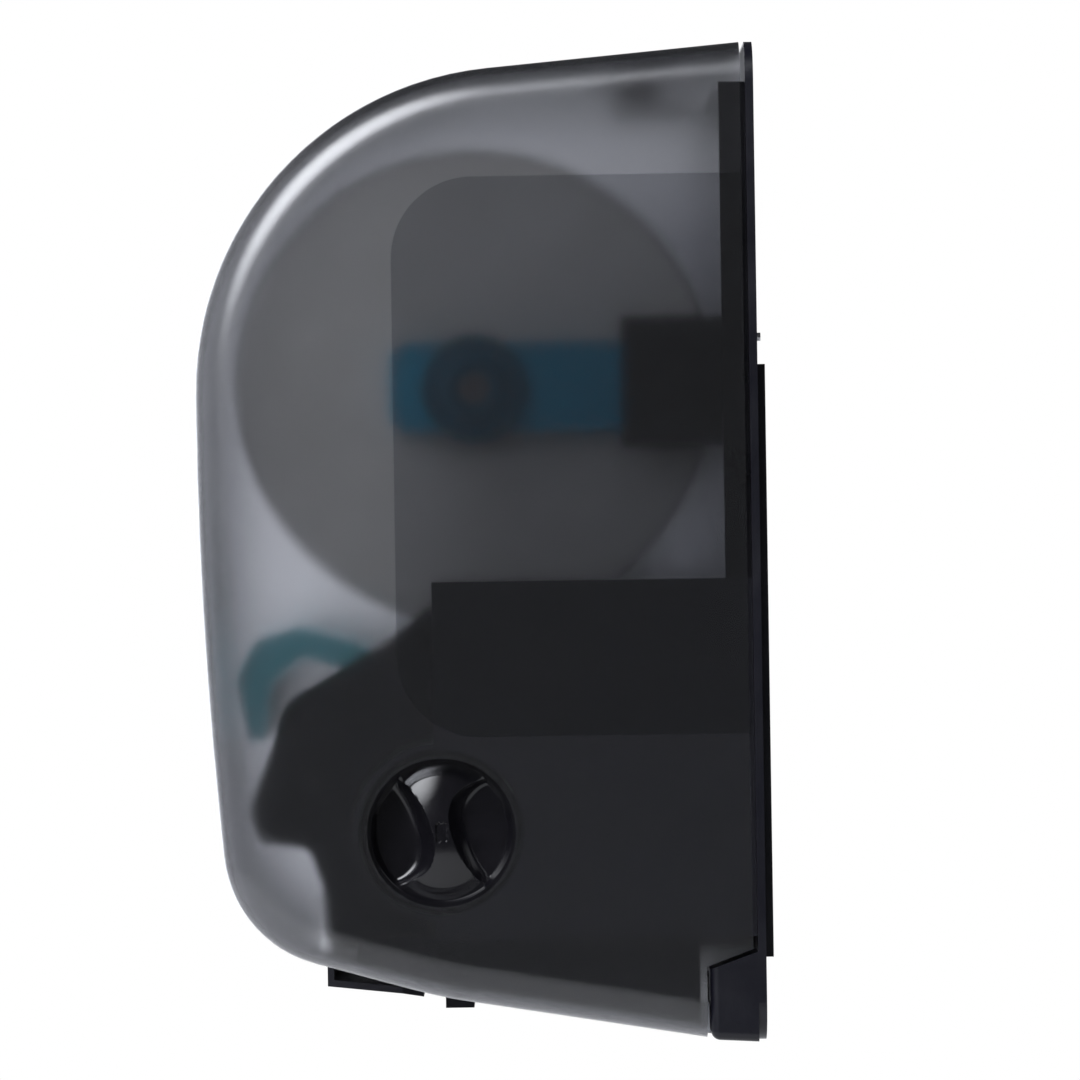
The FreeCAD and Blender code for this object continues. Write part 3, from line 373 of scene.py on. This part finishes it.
make_camera()
make_world()
make_floor(make_floor_finish())

BLACK = (0.0036, 0.0036, 0.0066)
FINISH = {
    "smoke_cover": make_smoke(),
    "cover_trim": moulded("cover_trim", (0.012, 0.012, 0.014), 0.32, 0.46, 700.0, 0.00003),
    "black_plastic": moulded("black_plastic", BLACK, 0.26, 0.38, 800.0, 0.00003, gloss=0.38),
    # A matt black about three times lighter than the other black, for the pieces close behind the cover: the
    # matt face is real, the lighter colour is painted light for the light they catch through the cover.
    "casing_painted_light": moulded("casing_plastic_painted_light", (0.0120, 0.0120, 0.0190), 0.34, 0.46, 800.0, 0.00003),
    "knob_plastic": make_knob_finish(),
    "grey_plastic": moulded("grey_plastic", (0.17, 0.17, 0.18), 0.40, 0.52, 600.0, 0.00003),
    "teal_plastic": moulded("teal_plastic", (0.004, 0.330, 0.520), 0.36, 0.50, 700.0, 0.00004),
    # A copy of the teal at a third of its brightness, for the hub rings: partly their thicker plastic, partly
    # painted shade for the shadow they sit in.
    "dark_teal_plastic": moulded("dark_teal_plastic", (0.005, 0.110, 0.180), 0.36, 0.50, 700.0, 0.00004),
    "steel": make_metal("steel", (0.56, 0.56, 0.57), 0.22, 0.38, (0.05, 1.0, 1.0)),
    "lock_metal": make_metal("lock_metal", (0.66, 0.65, 0.62), 0.14, 0.26, (1.0, 1.0, 0.08)),
    # The transfer bar's teal is lighter and paler than the arms': painted light, standing in for the stronger
    # light that falls on it.
    "bar_painted_light": moulded("bar_plastic_painted_light", (0.150, 0.520, 0.590), 0.34, 0.48, 700.0, 0.00003),
    "rubber": make_rubber(),
    "paper": make_paper_face(),
    "core_board": make_board(),
}
slot_of = {part["node"]: part["material_slot"] for part in frame["record"]["subparts"]}
# Pieces whose finish differs from the common one of their slot.
own_finish = {"transfer_bar": "bar_painted_light", "side_housing_right": "casing_painted_light", "side_housing_left": "casing_painted_light",
              "module_nose": "casing_painted_light", "chute_front": "casing_painted_light", "transfer_pins": "casing_painted_light",
              "pinch_shaft": "cover_trim"}
for node_name, node in NODES.items():
    node.data.materials.clear()
    node.data.materials.append(FINISH[own_finish.get(node_name, slot_of[node_name])])


# ---- mesh helpers ----------------------------------------------------------------------------------------

def centre_of(node):
    low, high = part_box(node)
    return (Vector(low) + Vector(high)) / 2


def finish_piece(name, build, body, slot, nodes=(), sharp=None, bevel=None):
    """Turns a bmesh into a piece that rides on a body, with smooth faces between its sharp edges."""
    bmesh.ops.remove_doubles(build, verts=build.verts, dist=1e-7)
    bmesh.ops.recalc_face_normals(build, faces=build.faces)
    mesh = bpy.data.meshes.new(name)
    build.to_mesh(mesh)
    build.free()
    piece = bpy.data.objects.new(name, mesh)
    bpy.context.scene.collection.objects.link(piece)
    mesh.materials.append(FINISH[slot])
    mesh.shade_smooth()
    if sharp is not None:
        mesh.set_sharp_from_angle(angle=math.radians(sharp))
    if bevel:
        edge = piece.modifiers.new("bevel", "BEVEL")
        edge.width = bevel
        edge.segments = 3
        edge.limit_method = "ANGLE"
        edge.angle_limit = math.radians(35)
        edge.harden_normals = True
    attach(piece, body)
    if nodes:
        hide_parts(*nodes)
    return piece


def add_spun(build, centre, profile, segments, twist=None):
    """A closed loop of (x, radius) pairs turned about the X line through centre."""
    rings = []
    for x, radius in profile:
        ring = []
        for step in range(segments):
            angle = 2 * math.pi * step / segments
            reach = radius + (twist(x, radius, angle) if twist else 0.0)
            ring.append(build.verts.new((centre.x + x, centre.y + reach * math.cos(angle),
                                         centre.z + reach * math.sin(angle))))
        rings.append(ring)
    for first, second in zip(rings, rings[1:] + rings[:1]):
        for step in range(segments):
            following = (step + 1) % segments
            build.faces.new((first[step], first[following], second[following], second[step]))


def add_prism(build, outline, low, high):
    """A solid between two planes of constant x, from an outline of (y, z) pairs."""
    sides = []
    for x in (low, high):
        sides.append([build.verts.new((x, y, z)) for y, z in outline])
    count = len(outline)
    for step in range(count):
        following = (step + 1) % count
        build.faces.new((sides[0][step], sides[0][following], sides[1][following], sides[1][step]))
    build.faces.new(list(reversed(sides[0])))
    build.faces.new(sides[1])


def rounded(corners, steps=8):
    """An outline from (y, z, radius) corners, each turned into an arc."""
    outline = []
    count = len(corners)
    for index, (y, z, radius) in enumerate(corners):
        here = Vector((y, z))
        before = (Vector(corners[index - 1][:2]) - here).normalized()
        after = (Vector(corners[(index + 1) % count][:2]) - here).normalized()
        if radius <= 0:
            outline.append((y, z))
            continue
        half = before.angle(after) / 2
        reach = radius / math.tan(half)
        centre = here + (before + after).normalized() * (radius / math.sin(half))
        start = here + before * reach - centre
        end = here + after * reach - centre
        sweep = start.angle_signed(end)
        for step in range(steps + 1):
            turned = start.copy()
            turned.rotate(Matrix.Rotation(-sweep * step / steps, 2))
            outline.append((centre.x + turned.x, centre.y + turned.y))
    return outline


def smoothstep(value):
    value = min(1.0, max(0.0, value))
    return value * value * (3 - 2 * value)


# ---- feed knob -------------------------------------------------------------------------------------------

# Half width of the knob's waisted grip at heights from the bottom to the top, seen from +X, in millimetres.
GRIP_EDGE = ((-24.0, 24.0), (-21.0, 17.0), (-19.5, 12.6), (-17.5, 8.6), (-14.0, 5.0), (-10.0, 3.3),
             (-6.0, 2.8), (-2.0, 3.2), (2.0, 4.2), (6.0, 5.6), (10.0, 7.4), (14.0, 9.8), (17.0, 12.2),
             (20.0, 15.0), (24.0, 19.5))


def grip_edge(height):
    """The grip's half width in millimetres, smoothed between its stations."""
    height = min(max(height, GRIP_EDGE[0][0]), GRIP_EDGE[-1][0])
    for index in range(len(GRIP_EDGE) - 1):
        (low, first), (high, second) = GRIP_EDGE[index:index + 2]
        if height <= high:
            before = GRIP_EDGE[max(index - 1, 0)]
            after = GRIP_EDGE[min(index + 2, len(GRIP_EDGE) - 1)]
            span = high - low
            rise_first = (second - before[1]) / (high - before[0]) * span
            rise_second = (after[1] - first) / (after[0] - low) * span
            share = (height - low) / span
            square, cube = share ** 2, share ** 3
            return ((2 * cube - 3 * square + 1) * first + (cube - 2 * square + share) * rise_first
                    + (3 * square - 2 * cube) * second + (cube - square) * rise_second)
    return GRIP_EDGE[-1][1]


# Heights and sizes of the knob's face, in millimetres. Its crown falls faster across the grip than along it.
KNOB_POCKET = 2.2
KNOB_CROWN = 11.4
CROWN_BEND = (0.026, 0.014)
KNOB_RIM = 7.2
POCKET_FILLET = 8.5
SLOT_HALF = (2.5, 4.1)
KNOB_RINGS, KNOB_SEGMENTS = 104, 256


def knob_height(u, v):
    """Height of the knob's face over its back, in millimetres, at a place seen from +X."""
    radius = math.hypot(u, v)
    outside = max(u - grip_edge(-v), -u - grip_edge(v))
    crown = KNOB_CROWN - CROWN_BEND[0] * u * u / 2 - CROWN_BEND[1] * v * v / 2
    shoulder = smoothstep((radius - 22.6) / 6.0)
    crown -= shoulder * (crown - KNOB_RIM + 1.6)
    if outside <= 0:
        height = crown
    else:
        share = min(1.0, outside / POCKET_FILLET)
        height = KNOB_POCKET + (crown - KNOB_POCKET) * (1 - share) ** 1.9
    rim = KNOB_RIM - 1.2 * smoothstep((radius - 31.0) / 1.4)
    wall = smoothstep((radius - 26.4) / 2.4)
    height = max(height, KNOB_POCKET + (rim - KNOB_POCKET) * wall)
    inside = min(SLOT_HALF[0] - abs(u), SLOT_HALF[1] - abs(v))
    corner = math.hypot(max(0.0, abs(u) - SLOT_HALF[0] + 1.0), max(0.0, abs(v) - SLOT_HALF[1] + 1.0))
    if inside > 0 and corner < 1.0:
        height -= 0.9 * smoothstep(min(inside, 1.0 - corner) / 0.5)
    return height


def make_knob():
    low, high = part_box("feed_knob")
    centre = centre_of("feed_knob")
    outer = (high[2] - low[2]) / 2
    base = low[0]
    build = bmesh.new()
    segments = KNOB_SEGMENTS
    previous = None
    middle = build.verts.new((base + knob_height(0, 0) * MM, centre.y, centre.z))
    for index in range(1, KNOB_RINGS + 1):
        radius = outer / MM * index / KNOB_RINGS
        ring = []
        for step in range(segments):
            angle = 2 * math.pi * step / segments
            u, v = radius * math.cos(angle), radius * math.sin(angle)
            place = (base + knob_height(u, v) * MM, centre.y + u * MM, centre.z + v * MM)
            ring.append(build.verts.new(place))
        for step in range(segments):
            following = (step + 1) % segments
            if previous is None:
                build.faces.new((middle, ring[step], ring[following]))
            else:
                build.faces.new((previous[step], ring[step], ring[following], previous[following]))
        previous = ring
    # The knob's side, its flat back, and the recess round the bore of its shaft.
    back = ((5.6, outer), (3.0, outer), (0.4, outer), (0.0, outer - 0.0004), (0.0, 0.018), (0.9, 0.0168),
            (0.9, 0.0075), (0.2, 0.0070), (0.2, 0.0052), (1.6, 0.0051))
    for x, radius in back:
        ring = []
        for step in range(segments):
            angle = 2 * math.pi * step / segments
            ring.append(build.verts.new((base + x * MM, centre.y + radius * math.cos(angle),
                                         centre.z + radius * math.sin(angle))))
        for step in range(segments):
            following = (step + 1) % segments
            build.faces.new((previous[step], ring[step], ring[following], previous[following]))
        previous = ring
    build.faces.new(list(reversed(previous)))
    finish_piece("knob_grip", build, "drum", "knob_plastic", ["feed_knob"], sharp=40)


make_knob()


# ---- towel roll ------------------------------------------------------------------------------------------

LAYER_PITCH = 1.15 * MM


def make_roll():
    """The wound roll: soft end edges, layers that stand in and out on its ends, and a glued tail."""
    low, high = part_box("towel_roll")
    centre = centre_of("towel_roll")
    outer = (high[2] - low[2]) / 2 - 0.2 * MM
    inner = (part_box("roll_core")[1][2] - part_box("roll_core")[0][2]) / 2 + 0.1 * MM
    half = (high[0] - low[0]) / 2 - 0.15 * MM
    layers = int((outer - inner - 1.2 * MM) / LAYER_PITCH)
    profile = []
    for side in (1, -1):
        ends = []
        for layer in range(layers + 1):
            radius = inner + layer * LAYER_PITCH
            wander = 0.28 * math.sin(layer * 0.61 + side) + 0.22 * math.sin(layer * 0.23 + 2.0 * side)
            depth = (0.55 + 0.5 * wander) * MM
            ends.append((half - depth - 0.28 * MM, radius))
            ends.append((half - depth, radius + LAYER_PITCH * 0.35))
            ends.append((half - depth, radius + LAYER_PITCH * 0.75))
        last = ends[-1][1]
        ends.append((half - 0.7 * MM, last + 0.35 * (outer - last)))
        ends.append((half - 1.0 * MM, outer - 0.25 * MM))
        ends.append((half - 1.6 * MM, outer))
        across = [(side * x, radius) for x, radius in ends]
        profile += across if side > 0 else list(reversed(across))
        if side > 0:
            for step in range(1, 24):
                profile.append((half - 1.6 * MM - (2 * half - 3.2 * MM) * step / 24, outer))

    def tail(x, radius, angle):
        """The outermost layer ends in a step, then thins away behind it."""
        share = (radius - (outer - 0.5 * MM)) / (0.5 * MM)
        if share <= 0:
            return 0.0
        along = ((angle - 2.2) % (2 * math.pi)) / (2 * math.pi)
        soft = 0.10 * MM * math.sin(5 * angle + x * 60) * math.sin(x * 45 + 1.3)
        return min(share, 1.0) * (0.30 * MM * (along - 1.0) + soft - 0.05 * MM)

    build = bmesh.new()
    add_spun(build, centre, profile, segments=240, twist=tail)
    finish_piece("towel_paper", build, "roll", "paper", ["towel_roll"], sharp=None)


make_roll()


# ---- roll arms and hubs ----------------------------------------------------------------------------------

ARM_PLATE_HALF = 2.5 * MM
ARM_BORDER = 2.2 * MM
HUB_HOLE = 6.1 * MM
EYE_BORE, EYE_REACH, EYE_CHAMFER = 2.6 * MM, 4.95 * MM, 0.5 * MM
# The ribs along the arm stand at these shares of its height.
RIB_SHARES = (0.24, 0.5, 0.76)
RIB_HALF = 0.7 * MM


def make_arm(name, side):
    """A teal arm: a plate with a raised border and ribs, an eye on its pivot and a ring round the hub."""
    low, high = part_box(f"roll_arm_{name}")
    hub = centre_of(f"roll_hub_{name}")
    inner, outer = sorted((abs(low[0]), abs(high[0])))
    middle = (inner + outer) / 2
    plate = (middle - ARM_PLATE_HALF, middle + ARM_PLATE_HALF)
    tip, top, bottom = low[1], high[2], low[2]
    pivot = high[1] - 5 * MM

    def span(first, second):
        return sorted((side * first, side * second))

    build = bmesh.new()
    face = span(plate[0], plate[1] - 1.4 * MM)
    outline = rounded([(tip, bottom, 9 * MM), (pivot + 4 * MM, bottom, 1 * MM), (pivot + 4 * MM, top, 1 * MM),
                       (tip, top, 9 * MM)], 12)
    add_plate_with_hole(build, outline, (hub.y, hub.z), HUB_HOLE, face)
    finish_piece(f"arm_plate_{name}", build, f"arm_{name}", "teal_plastic", [f"roll_arm_{name}"], sharp=35,
                 bevel=0.35 * MM)

    build = bmesh.new()
    rim_face = span(plate[1] - 1.5 * MM, plate[1])
    inside = rounded([(tip + ARM_BORDER, bottom + ARM_BORDER, 7 * MM),
                      (pivot - 8 * MM, bottom + ARM_BORDER, 1 * MM),
                      (pivot - 8 * MM, top - ARM_BORDER, 1 * MM),
                      (tip + ARM_BORDER, top - ARM_BORDER, 7 * MM)], 12)
    add_frame(build, outline, inside, rim_face)
    add_spun(build, Vector((side * (plate[1] - 0.75 * MM), hub.y, hub.z)),
             [(-0.75 * MM, 13.6 * MM), (0.75 * MM, 13.6 * MM), (0.75 * MM, 16.2 * MM),
              (-0.75 * MM, 16.2 * MM)], segments=96)
    for share in RIB_SHARES:
        height = bottom + (top - bottom) * share
        start, end = hub.y + 24 * MM, pivot - 8.5 * MM
        low_edge, high_edge = height - RIB_HALF, height + RIB_HALF
        rib = [(start, low_edge), (end, low_edge), (end, high_edge), (start, high_edge)]
        add_prism(build, rib, *rim_face)
    finish_piece(f"arm_ribs_{name}", build, f"arm_{name}", "teal_plastic", [f"roll_arm_{name}"], sharp=35,
                 bevel=0.25 * MM)

    build = bmesh.new()
    eye_end = 4.4 * MM
    add_turned_z(build, (side * middle, pivot),
                 [(bottom, EYE_BORE), (bottom, eye_end), (bottom + EYE_CHAMFER, EYE_REACH),
                  (top - EYE_CHAMFER, EYE_REACH), (top, eye_end), (top, EYE_BORE)])
    finish_piece(f"arm_eye_{name}", build, f"arm_{name}", "teal_plastic", [f"roll_arm_{name}"], sharp=35)


def add_turned_z(build, centre, profile, segments=64):
    """A ring of (z, radius) pairs turned about the Z line through centre."""
    rings = []
    for z, radius in profile:
        rings.append([build.verts.new((centre[0] + radius * math.cos(2 * math.pi * step / segments),
                                       centre[1] + radius * math.sin(2 * math.pi * step / segments), z))
                      for step in range(segments)])
    for first, second in zip(rings, rings[1:] + rings[:1]):
        for step in range(segments):
            following = (step + 1) % segments
            build.faces.new((first[step], first[following], second[following], second[step]))


def add_frame(build, outline, inside, face):
    """A flat closed frame between two outlines with the same count of points."""
    loops = []
    for x in face:
        for loop in (outline, inside):
            loops.append([build.verts.new((x, y, z)) for y, z in loop])
    low_out, low_in, high_out, high_in = loops
    count = len(outline)
    for step in range(count):
        following = (step + 1) % count
        for first, second in ((low_out, low_in), (high_in, high_out), (low_in, high_in), (high_out, low_out)):
            build.faces.new((first[step], first[following], second[following], second[step]))


def add_plate_with_hole(build, outline, hole_centre, hole, face, segments=96):
    """A plate between two x planes with a round hole, its faces filled between both loops."""
    centre = Vector(hole_centre)
    ring = []
    for step in range(segments):
        angle = 2 * math.pi * step / segments
        ring.append((centre.x + hole * math.cos(angle), centre.y + hole * math.sin(angle)))
    loops = {}
    for x in face:
        edges = []
        for kind, loop in (("outline", outline), ("ring", ring)):
            corners = [build.verts.new((x, y, z)) for y, z in loop]
            loops[kind, x] = corners
            for step, corner in enumerate(corners):
                edges.append(build.edges.new((corner, corners[(step + 1) % len(corners)])))
        bmesh.ops.triangle_fill(build, use_beauty=True, use_dissolve=False, edges=edges)
    for kind in ("outline", "ring"):
        low, high = (loops[kind, x] for x in face)
        for step in range(len(low)):
            following = (step + 1) % len(low)
            build.faces.new((low[step], low[following], high[following], high[step]))


HUB_RIBS = 12


def make_hub_cap(name, side):
    """The outer cap of a hub: a dished ring with gear like ribs round an open boss."""
    low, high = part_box(f"hub_cap_{name}")
    centre = centre_of(f"hub_cap_{name}")
    outer = (high[2] - low[2]) / 2
    depth = high[0] - low[0]
    build = bmesh.new()
    wall = 3.0 * MM
    profile = [(0.0, 7.0 * MM), (0.0, outer - 0.6 * MM), (0.6 * MM, outer), (wall - 0.8 * MM, outer),
               (wall, outer - 0.8 * MM), (wall, outer - 3.2 * MM), (wall - 1.3 * MM, outer - 4.2 * MM),
               (wall - 1.3 * MM, 14.2 * MM), (wall, 12.6 * MM), (depth - 0.5 * MM, 12.2 * MM),
               (depth, 11.6 * MM), (depth, 8.4 * MM), (depth - 0.6 * MM, 7.6 * MM),
               (depth - 1.8 * MM, 7.0 * MM)]
    start = Vector((low[0] if side > 0 else high[0], centre.y, centre.z))
    add_spun(build, start, [(side * x, radius) for x, radius in profile], segments=144)
    for step in range(HUB_RIBS):
        angle = 2 * math.pi * step / HUB_RIBS
        along = Vector((math.cos(angle), math.sin(angle)))
        across = Vector((-along.y, along.x)) * 0.8 * MM
        ends = [along * 13.4 * MM - across, along * 18.6 * MM - across, along * 18.6 * MM + across,
                along * 13.4 * MM + across]
        outline = [(start.y + end.x, start.z + end.y) for end in ends]
        add_prism(build, outline, *sorted((start.x + side * 1.2 * MM, start.x + side * 2.7 * MM)))
    # The ring takes the darker copy of the teal: painted shade in part, for the shadow on the hub.
    finish_piece(f"hub_ring_{name}", build, f"hub_{name}", "dark_teal_plastic", [f"hub_cap_{name}"], sharp=35)

    build = bmesh.new()
    face = [(0.0, 0.0004), (0.0, 6.4 * MM), (1.8 * MM, 6.4 * MM), (2.3 * MM, 5.9 * MM), (2.3 * MM, 3.0 * MM),
            (1.5 * MM, 2.4 * MM), (1.5 * MM, 0.0004)]
    add_spun(build, start, [(side * x, radius) for x, radius in face], segments=96)
    finish_piece(f"hub_axle_{name}", build, f"hub_{name}", "grey_plastic", (), sharp=35)


for side_name, side_sign in SIDES:
    make_arm(side_name, side_sign)
    make_hub_cap(side_name, side_sign)


# ---- skirts under the side housings ----------------------------------------------------------------------

SKIRT_REAR = -30 * MM
SKIRT_GAP = 2.5 * MM
SKIRT_INSET = 8 * MM
SKIRT_WALL = 2 * MM
SKIRT_STEPS = 32


def floor_under(x, y, z):
    """Height of the cover's floor, at rest, straight below a place inside it."""
    cover = NODES["cover"]
    inward = cover.matrix_world.inverted()
    found, place, _, _ = cover.ray_cast(inward @ Vector((x, y, z)), inward.to_3x3() @ Vector((0, 0, -1)))
    return (cover.matrix_world @ place).z if found else z


def make_skirt(name, side):
    """The lower wall of a side housing, which ends just above the cover's floor. It can be seen only."""
    low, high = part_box(f"side_housing_{name}")
    outer = max(abs(low[0]), abs(high[0])) - SKIRT_INSET
    top, front = low[2] + 2 * MM, low[1] + 1.5 * MM
    outline = [(SKIRT_REAR, top), (front, top)]
    for step in range(SKIRT_STEPS + 1):
        y = front + (SKIRT_REAR - front) * step / SKIRT_STEPS
        outline.append((y, floor_under(side * outer, y, low[2] - 1 * MM) + SKIRT_GAP))
    build = bmesh.new()
    add_prism(build, outline, *sorted((side * (outer - SKIRT_WALL), side * outer)))
    finish_piece(f"housing_skirt_{name}", build, "frame", "black_plastic", (), sharp=35)


bpy.context.view_layer.update()
for side_name, side_sign in SIDES:
    make_skirt(side_name, side_sign)


# ---- view transform --------------------------------------------------------------------------------------

bpy.context.scene.view_settings.view_transform = "Standard"
bpy.context.view_layer.update()
